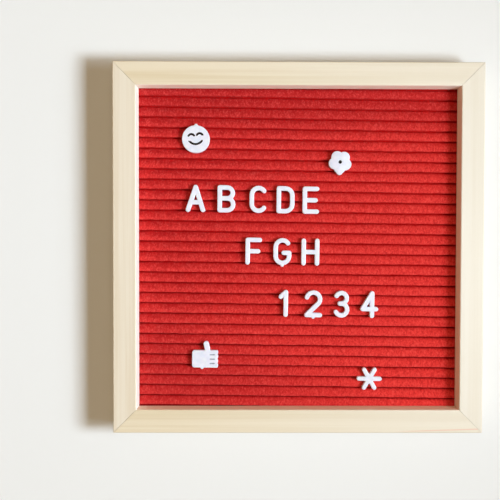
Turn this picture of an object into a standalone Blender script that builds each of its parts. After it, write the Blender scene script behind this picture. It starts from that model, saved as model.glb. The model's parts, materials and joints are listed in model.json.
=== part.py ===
"""A felt letter board: a mitred wooden frame round a pleated felt sheet, with plastic pieces in its grooves.

The board lies on its back. +Z comes out of its face, +Y runs to its top edge and +X to the right.
The origin is the middle of the back, on the surface that the frame rests on.
"""

from math import acos, asin, atan2, cos, degrees, floor, hypot, pi, radians, sin, sqrt, tan

import bmesh
import bpy
from mathutils import Matrix, Vector

MM = 0.001

# Clearances
SEAT_GAP = 0.3 * MM  # between two pieces that touch
MITRE_GAP = 0.2 * MM  # the joint line at a corner of the frame
BOARD_CLEARANCE = 0.5 * MM  # between the rabbet's wall and what lies in it

# Frame
BOARD_WIDTH = 254 * MM
BOARD_HEIGHT = 254 * MM
FRAME_DEPTH = 22 * MM
RAIL_WIDTH = 16 * MM
LIP_WIDTH = 6 * MM
LIP_DEPTH = 9.5 * MM
FRONT_EASE = 0.8 * MM
BACK_EASE = 0.5 * MM

# Pleated felt
RIB_PITCH = 7.22 * MM
RIB_SLOPE = radians(-0.75)
GROOVE_WIDTH = 1.3 * MM
GROOVE_DEPTH = 4.6 * MM
FELT_THICKNESS = 0.9 * MM
RIB_SHOULDER = 1.25 * MM
RIB_CROWN = 0.2 * MM
EDGE_MARGIN = 1.0 * MM

# Boards behind the felt
CORE_FLOOR = 1.4 * MM
PANEL_THICKNESS = 2.5 * MM

# Flexible points that hold the back panel
POINTS_EACH_RAIL = 2
POINT_SPACING = 110 * MM
POINT_LENGTH = 16 * MM
POINT_WIDTH = 5 * MM
POINT_THICKNESS = 0.5 * MM
POINT_IN_WOOD = 6 * MM
POINT_TIP = 3 * MM

# V nails across the mitres
NAIL_FROM_EDGE = 4 * MM
NAIL_LEG = 4.4 * MM
NAIL_THICKNESS = 0.5 * MM
NAIL_HEIGHT = 7 * MM

# Sawtooth hanger
HANGER_DROP = 42 * MM
HANGER_LENGTH = 44 * MM
HANGER_WIDTH = 9 * MM
HANGER_THICKNESS = 0.5 * MM
HANGER_STEP = 0.6 * MM
HANGER_FLAT = 9 * MM
HANGER_RAMP = 2 * MM
TOOTH_PITCH = 3 * MM
TOOTH_DEPTH = 1.8 * MM
BRAD_DIAMETER = 1.4 * MM
BRAD_HEAD = 4 * MM
BRAD_HEAD_HEIGHT = 0.5 * MM
BRAD_INSET = 4.5 * MM

# Plastic characters
CAP_HEIGHT = 19 * MM
CHARACTER_WIDTH = 12.6 * MM
STROKE = 3.2 * MM
BODY_THICKNESS = 2.4 * MM
BODY_EDGE = 0.45 * MM
CHARACTER_LIFT = 1.1 * MM
TAB_THICKNESS = 0.7 * MM
TAB_REACH = 3.6 * MM
TAB_LENGTH = 2.4 * MM
TAB_ROOT = 1.0 * MM
NUB_BASE = 2.6 * MM
NUB_TIP = 1.3 * MM
NUB_HEIGHT = 1.0 * MM

# Smiling disc
DISC_DIAMETER = 19.2 * MM
DISC_TILT = radians(6)
SLOT_WIDTH = 1.1 * MM
EYE_RADIUS = 2.1 * MM
EYE_SPACING = 5.8 * MM
EYE_HEIGHT = 1.6 * MM
MOUTH_RADIUS = 5.25 * MM
MOUTH_HEIGHT = 1.75 * MM

# Flower
PETALS = 5
PETAL_DIAMETER = 11.4 * MM
PETAL_RING = 2.6 * MM
FLOWER_TILT = radians(-5)
FLOWER_HOLE = 2.0 * MM

# Hand with its thumb up
HAND_WIDTH = 18.2 * MM
HAND_HEIGHT = 12.2 * MM
HAND_CORNER = 1.7 * MM
FINGERS = 4
FINGER_NOTCH = 0.6 * MM
KNUCKLE_DEPTH = 0.8 * MM
KNUCKLE_WIDTH = 0.9 * MM
KNUCKLE_START = 3.6 * MM
KNUCKLE_END = 6.4 * MM
THUMB_WIDTH = 3.7 * MM
THUMB_FOOT = 1.5 * MM
THUMB_LEAN = 0.9 * MM
THUMB_BEND = 1.2 * MM
THUMB_RISE = 4.5 * MM
HAND_NUB = 2.0 * MM

# Asterisk
ASTERISK_SPAN = 17.6 * MM
ASTERISK_ARM = 3.0 * MM

# Where the rows of characters stand: the groove between their tabs, then each one's place along the row
ROWS = (
    (4, (("A", -71.3 * MM), ("B", -49.8 * MM), ("C", -27.5 * MM), ("D", -8.7 * MM), ("E", 9.4 * MM))),
    (-1, (("F", -30.3 * MM), ("G", -10.8 * MM), ("H", 8.7 * MM))),
    (-6, (("1", -9.3 * MM), ("2", 10.9 * MM), ("3", 30.5 * MM), ("4", 50.1 * MM))),
)

# Where the symbols stand: in from the board's nearest edges, and how far over the line of a groove
SMILE_FROM_LEFT = 56.0 * MM
SMILE_FROM_TOP = 51.5 * MM
SMILE_LIFT = -1.2 * MM
FLOWER_FROM_RIGHT = 97.8 * MM
FLOWER_FROM_TOP = 66.9 * MM
FLOWER_LIFT = -1.0 * MM
HAND_FROM_LEFT = 62.4 * MM
HAND_FROM_BOTTOM = 49.5 * MM
HAND_LIFT = -2.5 * MM
ASTERISK_FROM_RIGHT = 76.7 * MM
ASTERISK_FROM_BOTTOM = 35.8 * MM
ASTERISK_LIFT = -0.4 * MM

# Sizes that follow
SHEET_WIDTH = BOARD_WIDTH - 2 * (RAIL_WIDTH - LIP_WIDTH + BOARD_CLEARANCE)
SHEET_HEIGHT = BOARD_HEIGHT - 2 * (RAIL_WIDTH - LIP_WIDTH + BOARD_CLEARANCE)
LIP_UNDERSIDE = FRAME_DEPTH - LIP_DEPTH
FELT_TOP = LIP_UNDERSIDE - SEAT_GAP
CORE_TOP = FELT_TOP - RIB_CROWN - FELT_THICKNESS - SEAT_GAP
SLOT_FLOOR = FELT_TOP - GROOVE_DEPTH - FELT_THICKNESS - SEAT_GAP
CORE_BACK = SLOT_FLOOR - CORE_FLOOR
PANEL_FRONT = CORE_BACK - SEAT_GAP
PANEL_BACK = PANEL_FRONT - PANEL_THICKNESS
CHARACTER_BACK = FELT_TOP + SEAT_GAP
SLOT_WIDTH_IN_CORE = GROOVE_WIDTH + 2 * (FELT_THICKNESS + SEAT_GAP)

WOOD = ("pale_wood", (0.80, 0.67, 0.47), 0.55, 0.0)
FELT = ("red_felt", (0.55, 0.025, 0.025), 0.95, 0.0)
FIBREBOARD = ("fibreboard", (0.36, 0.23, 0.13), 0.8, 0.0)
STEEL = ("zinc_steel", (0.62, 0.63, 0.65), 0.35, 1.0)
PLASTIC = ("white_plastic", (0.86, 0.87, 0.90), 0.35, 0.0)


def clear_scene():
    for item in list(bpy.data.objects):
        bpy.data.objects.remove(item)


def new_collection(name):
    made = bpy.data.collections.new(name)
    bpy.context.scene.collection.children.link(made)
    return made


def material(finish):
    name, colour, roughness, metallic = finish
    made = bpy.data.materials.get(name)
    if made is None:
        made = bpy.data.materials.new(name)
        made.use_nodes = True
        shader = made.node_tree.nodes["Principled BSDF"]
        shader.inputs["Base Color"].default_value = (*colour, 1)
        shader.inputs["Roughness"].default_value = roughness
        shader.inputs["Metallic"].default_value = metallic
        made.diffuse_color = (*colour, 1)
    return made


def place(name, mesh, finish=None, location=(0, 0, 0), turn=0.0):
    """An object of this mesh: a sub-part of the board, or a cutter where it has no finish."""
    made = bpy.data.objects.new(name, mesh)
    made.location = location
    made.rotation_euler = (0, 0, turn)
    if finish is None:
        cutters.objects.link(made)
        made.hide_render = True
        made.display_type = "WIRE"
    else:
        board.objects.link(made)
        mesh.materials.clear()
        mesh.materials.append(material(finish))
    return made


def modify(target, operation, other):
    modifier = target.modifiers.new(operation.lower(), "BOOLEAN")
    modifier.operation = operation
    modifier.object = other
    modifier.solver = "EXACT"


def mesh_of(name, bm):
    bmesh.ops.recalc_face_normals(bm, faces=bm.faces)
    mesh = bpy.data.meshes.new(name)
    bm.to_mesh(mesh)
    bm.free()
    return mesh


def evaluated_mesh(source):
    """The object's mesh with its modifiers applied, in the object's own frame."""
    bpy.context.view_layer.update()
    graph = bpy.context.evaluated_depsgraph_get()
    return bpy.data.meshes.new_from_object(source.evaluated_get(graph))


def smooth(mesh, angle=35):
    mesh.shade_smooth()
    mesh.set_sharp_from_angle(angle=radians(angle))


def block(name, low, high):
    bm = bmesh.new()
    bmesh.ops.create_cube(bm, size=1)
    size = [b - a for a, b in zip(low, high)]
    middle = [(a + b) / 2 for a, b in zip(low, high)]
    bmesh.ops.transform(bm, matrix=Matrix.Translation(middle) @ Matrix.Diagonal((*size, 1)), verts=bm.verts)
    return mesh_of(name, bm)


def rod(name, diameter, low, high, segments=24):
    bm = bmesh.new()
    bmesh.ops.create_cone(
        bm, cap_ends=True, segments=segments, radius1=diameter / 2, radius2=diameter / 2, depth=high - low
    )
    bmesh.ops.translate(bm, verts=bm.verts, vec=(0, 0, (low + high) / 2))
    return mesh_of(name, bm)


def flat_piece(name, outline, low, high):
    """A flat outline of one closed line, given its thickness between two heights."""
    curve = bpy.data.curves.new(name, "CURVE")
    curve.dimensions = "2D"
    curve.fill_mode = "BOTH"
    curve.extrude = (high - low) / 2
    spline = curve.splines.new("POLY")
    spline.points.add(len(outline) - 1)
    for point, (x, y) in zip(spline.points, outline):
        point.co = (x, y, 0, 1)
    spline.use_cyclic_u = True
    guide = bpy.data.objects.new(name, curve)
    cutters.objects.link(guide)
    filled = evaluated_mesh(guide)
    bpy.data.objects.remove(guide)
    bpy.data.curves.remove(curve)
    bm = bmesh.new()
    bm.from_mesh(filled)
    bpy.data.meshes.remove(filled)
    bmesh.ops.remove_doubles(bm, verts=bm.verts, dist=0.01 * MM)
    bmesh.ops.dissolve_limit(bm, angle_limit=radians(0.5), verts=bm.verts, edges=bm.edges)
    bmesh.ops.translate(bm, verts=bm.verts, vec=(0, 0, (low + high) / 2))
    return mesh_of(name, bm)


def arc(centre, radius, start, end, steps):
    """Points along an arc, with its angles in degrees."""
    angles = [radians(start + (end - start) * i / steps) for i in range(steps + 1)]
    return [(centre[0] + radius * cos(a), centre[1] + radius * sin(a)) for a in angles]


# Frame


def rail_section():
    """The rail's section as (distance in from the outer edge, height), with its rabbet and eased edges."""
    rabbet = RAIL_WIDTH - LIP_WIDTH
    section = arc((BACK_EASE, BACK_EASE), BACK_EASE, 270, 180, 2)
    section += arc((FRONT_EASE, FRAME_DEPTH - FRONT_EASE), FRONT_EASE, 180, 90, 4)
    section += arc((RAIL_WIDTH - FRONT_EASE, FRAME_DEPTH - FRONT_EASE), FRONT_EASE, 90, 0, 4)
    section += [(RAIL_WIDTH, LIP_UNDERSIDE), (rabbet, LIP_UNDERSIDE), (rabbet, 0)]
    return section


def rail_mesh(name, length):
    """A rail along X, its outer side at -Y, its ends cut at 45 degrees as its section goes in."""
    bm = bmesh.new()
    ends = {}
    for side in (-1, 1):
        ends[side] = [
            bm.verts.new((side * (length / 2 - inward - MITRE_GAP / 2), inward, height))
            for inward, height in rail_section()
        ]
        bm.faces.new(ends[side])
    count = len(ends[1])
    for i in range(count):
        j = (i + 1) % count
        bm.faces.new((ends[-1][i], ends[-1][j], ends[1][j], ends[1][i]))
    mesh = mesh_of(name, bm)
    smooth(mesh)
    return mesh


def point_places():
    first = -POINT_SPACING * (POINTS_EACH_RAIL - 1) / 2
    return [first + POINT_SPACING * i for i in range(POINTS_EACH_RAIL)]


def point_outline():
    half = POINT_WIDTH / 2
    return [
        (half, POINT_LENGTH - POINT_IN_WOOD),
        (-half, POINT_LENGTH - POINT_IN_WOOD),
        (-half, POINT_TIP - POINT_IN_WOOD),
        (0, -POINT_IN_WOOD),
        (half, POINT_TIP - POINT_IN_WOOD),
    ]


def v_nail_outline(spare):
    """The nail seen from the back of a corner, with both legs along the rails, grown by the spare room."""
    inner = NAIL_THICKNESS / 2 + spare
    reach = NAIL_LEG + spare
    return [
        (-inner, -inner),
        (reach, -inner),
        (reach, inner),
        (inner, inner),
        (inner, reach),
        (-inner, reach),
    ]


def make_frame():
    point_back = PANEL_BACK - SEAT_GAP - POINT_THICKNESS
    rabbet = RAIL_WIDTH - LIP_WIDTH
    rails = {}
    sides = (
        ("bottom", BOARD_WIDTH, BOARD_HEIGHT, 0),
        ("right", BOARD_HEIGHT, BOARD_WIDTH, pi / 2),
        ("top", BOARD_WIDTH, BOARD_HEIGHT, pi),
        ("left", BOARD_HEIGHT, BOARD_WIDTH, -pi / 2),
    )
    for side, length, across, turn in sides:
        foot = Matrix.Rotation(turn, 4, "Z") @ Matrix.Translation((0, -across / 2, 0))
        rail = place(f"rail_{side}", rail_mesh(f"rail_{side}", length), WOOD, foot.translation, turn)
        rails[side] = rail
        for number, along in enumerate(point_places(), 1):
            spot = foot @ Matrix.Translation((along, rabbet, 0))
            slot = block(
                f"point_slot_{side}_{number}",
                (-POINT_WIDTH / 2 - SEAT_GAP, -POINT_IN_WOOD - SEAT_GAP, point_back - SEAT_GAP),
                (POINT_WIDTH / 2 + SEAT_GAP, LIP_WIDTH, PANEL_BACK),
            )
            modify(rail, "DIFFERENCE", place(slot.name, slot, None, spot.translation, turn))
            point = flat_piece("point", point_outline(), point_back, point_back + POINT_THICKNESS)
            place(f"point_{side}_{number}", point, STEEL, spot.translation, turn)
    corners = (
        ("bottom_left", -1, -1, 0, ("bottom", "left")),
        ("bottom_right", 1, -1, pi / 2, ("bottom", "right")),
        ("top_right", 1, 1, pi, ("top", "right")),
        ("top_left", -1, 1, -pi / 2, ("top", "left")),
    )
    for corner, right, up, turn, joined_rails in corners:
        spot = (
            right * (BOARD_WIDTH / 2 - NAIL_FROM_EDGE),
            up * (BOARD_HEIGHT / 2 - NAIL_FROM_EDGE),
            0,
        )
        pocket = flat_piece(
            f"v_nail_pocket_{corner}", v_nail_outline(SEAT_GAP), -SEAT_GAP, NAIL_HEIGHT + 2 * SEAT_GAP
        )
        cutter = place(pocket.name, pocket, None, spot, turn)
        for side in joined_rails:
            modify(rails[side], "DIFFERENCE", cutter)
        nail = flat_piece(f"v_nail_{corner}", v_nail_outline(0), SEAT_GAP, SEAT_GAP + NAIL_HEIGHT)
        place(nail.name, nail, STEEL, spot, turn)


# Pleated felt and what lies behind it


def groove_numbers():
    """The grooves that the sheet has room for, counted up from the middle of the board."""
    slant = SHEET_WIDTH / 2 * abs(tan(RIB_SLOPE))
    room = SHEET_HEIGHT / 2 - GROOVE_WIDTH / 2 - RIB_SHOULDER - EDGE_MARGIN - slant
    most = floor(room / RIB_PITCH + 0.5)
    return range(-most, most)


def groove_line(number):
    return (number + 0.5) * RIB_PITCH


def pleat_profile(half_width):
    """The felt's upper surface across the ribs, as (distance up the board, height under the crowns)."""
    profile = [(-half_width, -RIB_CROWN)]
    straight = GROOVE_DEPTH - GROOVE_WIDTH / 2
    side = GROOVE_WIDTH / 2 + RIB_SHOULDER
    for number in groove_numbers():
        line = groove_line(number)
        if number != groove_numbers()[0]:
            profile.append((line - RIB_PITCH / 2, 0))
        profile += arc((line - side, -RIB_CROWN - RIB_SHOULDER), RIB_SHOULDER, 90, 0, 3)
        profile += arc((line, -straight), GROOVE_WIDTH / 2, 180, 360, 4)
        profile += arc((line + side, -RIB_CROWN - RIB_SHOULDER), RIB_SHOULDER, 180, 90, 3)
    profile.append((half_width, -RIB_CROWN))
    return profile


def make_felt():
    """One sheet, folded down into every groove, its edges trimmed square to the frame."""
    reach = hypot(SHEET_WIDTH, SHEET_HEIGHT) / 2
    bm = bmesh.new()
    start = [bm.verts.new((-reach, y, z)) for y, z in pleat_profile(reach)]
    edges = [bm.edges.new(pair) for pair in zip(start, start[1:])]
    swept = bmesh.ops.extrude_edge_only(bm, edges=edges)["geom"]
    moved = [item for item in swept if isinstance(item, bmesh.types.BMVert)]
    bmesh.ops.translate(bm, verts=moved, vec=(2 * reach, 0, 0))
    bmesh.ops.rotate(bm, verts=bm.verts, cent=(0, 0, 0), matrix=Matrix.Rotation(RIB_SLOPE, 3, "Z"))
    half_width, half_height = Vector((SHEET_WIDTH / 2, 0, 0)), Vector((0, SHEET_HEIGHT / 2, 0))
    for edge in (half_width, -half_width, half_height, -half_height):
        whole = [*bm.verts, *bm.edges, *bm.faces]
        bmesh.ops.bisect_plane(
            bm, geom=whole, dist=0.001 * MM, plane_co=edge, plane_no=edge.normalized(), clear_outer=True
        )
    mesh = mesh_of("felt", bm)
    if mesh.polygons[0].normal.z < 0:
        mesh.flip_normals()
    felt = place("felt", mesh, FELT, (0, 0, FELT_TOP))
    shell = felt.modifiers.new("thickness", "SOLIDIFY")
    shell.thickness = FELT_THICKNESS
    shell.offset = -1
    shell.use_even_offset = True


def make_core():
    """The fibreboard that backs the felt, milled with a slot for every pleat."""
    core = place(
        "core_board",
        block(
            "core_board",
            (-SHEET_WIDTH / 2, -SHEET_HEIGHT / 2, CORE_BACK),
            (SHEET_WIDTH / 2, SHEET_HEIGHT / 2, CORE_TOP),
        ),
        FIBREBOARD,
    )
    reach = hypot(SHEET_WIDTH, SHEET_HEIGHT) / 2
    comb = []
    for number in groove_numbers():
        low = groove_line(number) - SLOT_WIDTH_IN_CORE / 2
        comb += [(low, CORE_TOP + CORE_FLOOR), (low, SLOT_FLOOR)]
        high = low + SLOT_WIDTH_IN_CORE
        comb += [(high, SLOT_FLOOR), (high, CORE_TOP + CORE_FLOOR)]
    comb += [(comb[-1][0], CORE_TOP + 2 * CORE_FLOOR), (comb[0][0], CORE_TOP + 2 * CORE_FLOOR)]
    slots = flat_piece("core_slots", comb, -reach, reach)
    slots.transform(Matrix(((0, 0, 1), (1, 0, 0), (0, 1, 0))).to_4x4())
    modify(core, "DIFFERENCE", place("core_slots", slots, None, (0, 0, 0), RIB_SLOPE))


def make_back():
    panel = place(
        "back_panel",
        block(
            "back_panel",
            (-SHEET_WIDTH / 2, -SHEET_HEIGHT / 2, PANEL_BACK),
            (SHEET_WIDTH / 2, SHEET_HEIGHT / 2, PANEL_FRONT),
        ),
        FIBREBOARD,
    )
    height = BOARD_HEIGHT / 2 - HANGER_DROP
    hanger = place("sawtooth_hanger", hanger_mesh(), STEEL, (0, height, PANEL_BACK - SEAT_GAP))
    head_top = PANEL_BACK - 2 * SEAT_GAP - HANGER_THICKNESS
    for side, sign in (("left", -1), ("right", 1)):
        along = sign * (HANGER_LENGTH / 2 - BRAD_INSET)
        hole = rod(f"brad_hole_{side}", BRAD_DIAMETER + 2 * SEAT_GAP, head_top, PANEL_FRONT + SEAT_GAP)
        cutter = place(hole.name, hole, None, (along, height, 0))
        modify(hanger, "DIFFERENCE", cutter)
        modify(panel, "DIFFERENCE", cutter)
        brad = turned_brad(f"hanger_brad_{side}", head_top)
        place(brad.name, brad, STEEL, (along, height, 0))


def turned_brad(name, head_top):
    """A short nail, head down, its shank up through the hanger into the panel."""
    tip = PANEL_FRONT - SEAT_GAP
    taper = BRAD_DIAMETER
    profile = [
        (0, tip),
        (BRAD_DIAMETER / 4, tip),
        (BRAD_DIAMETER / 2, tip - taper),
        (BRAD_DIAMETER / 2, head_top),
        (BRAD_HEAD / 2, head_top),
        (BRAD_HEAD / 2 * 0.92, head_top - BRAD_HEAD_HEIGHT / 2),
        (BRAD_HEAD / 2 * 0.6, head_top - BRAD_HEAD_HEIGHT),
        (0, head_top - BRAD_HEAD_HEIGHT),
    ]
    bm = bmesh.new()
    verts = [bm.verts.new((x, 0, z)) for x, z in profile]
    edges = [bm.edges.new(pair) for pair in zip(verts, verts[1:])]
    bmesh.ops.spin(bm, geom=verts + edges, cent=(0, 0, 0), axis=(0, 0, 1), angle=2 * pi, steps=20)
    bmesh.ops.remove_doubles(bm, verts=bm.verts, dist=0.01 * MM)
    mesh = mesh_of(name, bm)
    smooth(mesh)
    return mesh


def hanger_mesh():
    """A strip with flat ends and a middle that stands off the panel, toothed along its lower edge."""
    end = HANGER_LENGTH / 2
    flat = end - HANGER_FLAT
    ramp = flat - HANGER_RAMP
    path = [(-end, 0), (-flat, 0), (-ramp, -HANGER_STEP), (ramp, -HANGER_STEP), (flat, 0), (end, 0)]
    bm = bmesh.new()
    start = [bm.verts.new((x, -HANGER_WIDTH / 2, z)) for x, z in path]
    edges = [bm.edges.new(pair) for pair in zip(start, start[1:])]
    swept = bmesh.ops.extrude_edge_only(bm, edges=edges)["geom"]
    moved = [item for item in swept if isinstance(item, bmesh.types.BMVert)]
    bmesh.ops.translate(bm, verts=moved, vec=(0, HANGER_WIDTH, 0))
    mesh = mesh_of("hanger_strip", bm)
    if mesh.polygons[0].normal.z < 0:
        mesh.flip_normals()
    strip = place("hanger_strip", mesh)
    shell = strip.modifiers.new("thickness", "SOLIDIFY")
    shell.thickness = HANGER_THICKNESS
    shell.offset = -1
    shell.use_even_offset = True
    teeth = floor(2 * ramp / TOOTH_PITCH)
    first = -teeth * TOOTH_PITCH / 2
    low = -HANGER_WIDTH / 2
    outline = [(first, low - TOOTH_DEPTH)]
    for number in range(teeth):
        foot = first + number * TOOTH_PITCH
        outline += [(foot + 0.05 * TOOTH_PITCH, low), (foot + TOOTH_PITCH / 2, low + TOOTH_DEPTH)]
        outline += [(foot + 0.95 * TOOTH_PITCH, low)]
    outline += [(-first, low - TOOTH_DEPTH)]
    depth = HANGER_STEP + HANGER_THICKNESS + SEAT_GAP
    notches = place("hanger_teeth", flat_piece("hanger_teeth", outline, -depth, SEAT_GAP))
    modify(strip, "DIFFERENCE", notches)
    made = evaluated_mesh(strip)
    made.name = "sawtooth_hanger"
    bpy.data.objects.remove(strip)
    return made


# Plastic pieces. A shape is a solid with its back at height 0, its front edge rounded


def stroke_outline(path, width):
    """The outline of a stroke with round ends that follows a smooth path."""
    half = width / 2
    ends = []
    for a, b in ((path[1], path[0]), (path[-2], path[-1])):
        ends.append(atan2(b[1] - a[1], b[0] - a[0]) * 180 / pi)
    left, right = [], []
    last = len(path) - 1
    for i, (x, y) in enumerate(path):
        before, after = path[max(i - 1, 0)], path[min(i + 1, last)]
        along = hypot(after[0] - before[0], after[1] - before[1])
        normal = ((before[1] - after[1]) / along, (after[0] - before[0]) / along)
        if 0 < i < last:
            left.append((x + normal[0] * half, y + normal[1] * half))
            right.append((x - normal[0] * half, y - normal[1] * half))
    finish = arc(path[-1], half, ends[1] - 90, ends[1] + 90, 6)
    begin = arc(path[0], half, ends[0] - 90, ends[0] + 90, 6)
    return right + finish + left[::-1] + begin


def round_outline(centre, diameter, steps=32):
    return arc(centre, diameter / 2, 0, 360 - 360 / steps, steps - 1)


def moulded(outline):
    """A body of this outline with its front edge rounded."""
    mesh = flat_piece("shape", outline, 0, BODY_THICKNESS)
    bm = bmesh.new()
    bm.from_mesh(mesh)
    bpy.data.meshes.remove(mesh)
    front = [
        edge
        for edge in bm.edges
        if all(vert.co.z > BODY_THICKNESS * 0.9 for vert in edge.verts)
        and edge.calc_face_angle(0) > radians(60)
    ]
    bmesh.ops.bevel(
        bm, geom=front, offset=BODY_EDGE, segments=2, profile=0.5, affect="EDGES", clamp_overlap=True
    )
    return mesh_of("shape", bm)


def stroke(*path, width=STROKE):
    return moulded(stroke_outline(path, width))


def disc(centre, diameter, steps=32):
    return moulded(round_outline(centre, diameter, steps))


def nub(x, y, up=-1):
    """What is left of the sprue that fed the mould, on the edge of a piece."""
    root, tip = y - up * NUB_BASE / 2, y + up * NUB_HEIGHT
    return moulded(
        [
            (x - up * NUB_BASE / 2, root),
            (x + up * NUB_BASE / 2, root),
            (x + up * NUB_BASE / 2, y),
            (x + up * NUB_TIP / 2, tip),
            (x - up * NUB_TIP / 2, tip),
            (x - up * NUB_BASE / 2, y),
        ]
    )


def tab(x, y, length=TAB_LENGTH):
    """A thin rib on the back that pushes down into a groove."""
    half = length / 2
    thick = TAB_THICKNESS / 2
    return block("tab", (x - half, y - thick, -TAB_REACH), (x + half, y + thick, TAB_ROOT))


def joined(name, shapes):
    """One mesh, from solids that overlap."""
    objects = [place(f"{name}_{i}", shape) for i, shape in enumerate(shapes)]
    for other in objects[1:]:
        modify(objects[0], "UNION", other)
    made = evaluated_mesh(objects[0])
    made.name = name
    for item in objects:
        bpy.data.objects.remove(item)
    return made


def cut(name, mesh, holes):
    target = place(f"{name}_whole", mesh)
    objects = [place(f"{name}_hole_{i}", hole) for i, hole in enumerate(holes)]
    for other in objects:
        modify(target, "DIFFERENCE", other)
    made = evaluated_mesh(target)
    made.name = name
    for item in [target, *objects]:
        bpy.data.objects.remove(item)
    return made


def turned(points, angle):
    return [(x * cos(angle) - y * sin(angle), x * sin(angle) + y * cos(angle)) for x, y in points]


# The stroke's middle line keeps this far from the character's middle
TOP = (CAP_HEIGHT - STROKE) / 2
SIDE = (CHARACTER_WIDTH - STROKE) / 2
UPPER_TAB = RIB_PITCH - CHARACTER_LIFT
LOWER_TAB = -RIB_PITCH - CHARACTER_LIFT
CURVE_STEPS = 8


def at_height(y, start, end):
    """Where a straight stroke's middle line crosses a height."""
    share = (y - start[1]) / (end[1] - start[1])
    return start[0] + share * (end[0] - start[0])


def on_ring(y, centre_y, radius):
    """How far from the middle a round stroke crosses a height."""
    return radius * sin(acos(max(-1, min(1, (y - centre_y) / radius))))


def letter_a():
    foot, apex, bar = (SIDE * 1.1, -TOP), (0, TOP), -TOP * 0.33
    bar_end = at_height(bar, foot, apex)
    body = [stroke((-foot[0], foot[1]), apex), stroke(foot, apex), stroke((-bar_end, bar), (bar_end, bar))]
    leg = at_height(LOWER_TAB, foot, apex)
    return body + [tab(-leg, LOWER_TAB), tab(leg, LOWER_TAB), tab(0, UPPER_TAB)]


def bowl(left, low, high, right):
    """A stroke out from a stem, round and back to it."""
    radius = (high - low) / 2
    ring = arc((right - radius, low + radius), radius, 90, -90, CURVE_STEPS)
    return stroke((left, high), *ring, (left, low))


def letter_b():
    waist = TOP * 0.05
    body = [
        stroke((-SIDE, -TOP), (-SIDE, TOP)),
        bowl(-SIDE, waist, TOP, SIDE * 0.92),
        bowl(-SIDE, -TOP, waist, SIDE),
    ]
    return body + [tab(-SIDE, UPPER_TAB), tab(-SIDE / 2, LOWER_TAB, SIDE)]


def open_ring(start, end):
    """The path of a C or a G: two half rings and the straight between them."""
    middle = TOP - SIDE
    upper = arc((0, middle), SIDE, start, 180, CURVE_STEPS)
    lower = arc((0, -middle), SIDE, 180, end, CURVE_STEPS)
    return upper + lower


def ring_tabs():
    upper = on_ring(UPPER_TAB, TOP - SIDE, SIDE)
    return [tab(-upper, UPPER_TAB), tab(upper, UPPER_TAB), tab(0, LOWER_TAB, SIDE)]


def letter_c():
    return [stroke(*open_ring(35, 325)), *ring_tabs()]


def letter_d():
    radius = SIDE
    upper = arc((SIDE - radius, TOP - radius), radius, 90, 0, CURVE_STEPS // 2)
    lower = arc((SIDE - radius, radius - TOP), radius, 0, -90, CURVE_STEPS // 2)
    body = [stroke((-SIDE, -TOP), (-SIDE, TOP)), stroke((-SIDE, TOP), *upper, *lower, (-SIDE, -TOP))]
    right = on_ring(UPPER_TAB, TOP - radius, radius)
    return body + [tab(-SIDE, UPPER_TAB), tab(right, UPPER_TAB), tab(-SIDE / 2, LOWER_TAB, SIDE)]


def bars(*heights):
    return [stroke((-SIDE, y), (x, y)) for x, y in heights]


def letter_e():
    arms = bars((SIDE * 0.8, TOP), (SIDE * 0.6, 0), (SIDE * 0.8, -TOP))
    body = [stroke((-SIDE, -TOP), (-SIDE, TOP)), *arms]
    return body + [tab(-SIDE, UPPER_TAB), tab(0, LOWER_TAB, SIDE)]


def letter_f():
    body = [stroke((-SIDE, -TOP), (-SIDE, TOP)), *bars((SIDE * 0.8, TOP), (SIDE * 0.55, 0))]
    return body + [tab(-SIDE, UPPER_TAB), tab(-SIDE, LOWER_TAB)]


def letter_g():
    bar = -TOP * 0.1
    body = [stroke(*open_ring(35, 360), (SIDE, bar)), stroke((SIDE * 0.2, bar), (SIDE, bar))]
    return body + ring_tabs() + [nub(0, -CAP_HEIGHT / 2)]


def letter_h():
    body = [stroke((x, -TOP), (x, TOP)) for x in (-SIDE, SIDE)] + [stroke((-SIDE, 0), (SIDE, 0))]
    return body + [tab(x, y) for x in (-SIDE, SIDE) for y in (UPPER_TAB, LOWER_TAB)]


def number_1():
    stem, flag = SIDE * 0.2, (-SIDE * 0.55, TOP * 0.58)
    body = [stroke((stem, -TOP), (stem, TOP)), stroke(flag, (stem, TOP))]
    return body + [tab(stem, UPPER_TAB), tab(stem, LOWER_TAB)]


def number_2():
    ring = arc((0, TOP - SIDE), SIDE, 165, -35, CURVE_STEPS + 2)
    upper = on_ring(UPPER_TAB, TOP - SIDE, SIDE)
    body = [stroke(*ring), stroke(ring[-1], (-SIDE, -TOP)), stroke((-SIDE, -TOP), (SIDE, -TOP))]
    tabs = [tab(-upper, UPPER_TAB), tab(upper, UPPER_TAB), tab(0, LOWER_TAB, SIDE)]
    return body + tabs + [nub(0, -CAP_HEIGHT / 2)]


def number_3():
    waist = TOP * 0.05
    high, low = (TOP - waist) / 2, (TOP + waist) / 2
    body = [
        stroke(*arc((0, TOP - high), high, 155, -90, CURVE_STEPS + 2), (-high * 0.3, waist)),
        stroke((-high * 0.3, waist), *arc((0, low - TOP), low, 90, -155, CURVE_STEPS + 2)),
    ]
    upper = on_ring(UPPER_TAB, TOP - high, high)
    return body + [tab(-upper, UPPER_TAB), tab(upper, UPPER_TAB), tab(0, LOWER_TAB, SIDE)]


def number_4():
    stem, bar = SIDE * 0.4, -TOP * 0.4
    body = [
        stroke((stem, -TOP), (stem, TOP)),
        stroke((stem, TOP), (-SIDE, bar)),
        stroke((-SIDE, bar), (SIDE, bar)),
    ]
    return body + [tab(stem, UPPER_TAB), tab(stem, LOWER_TAB)]


CHARACTERS = {
    "A": letter_a,
    "B": letter_b,
    "C": letter_c,
    "D": letter_d,
    "E": letter_e,
    "F": letter_f,
    "G": letter_g,
    "H": letter_h,
    "1": number_1,
    "2": number_2,
    "3": number_3,
    "4": number_4,
}


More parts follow.
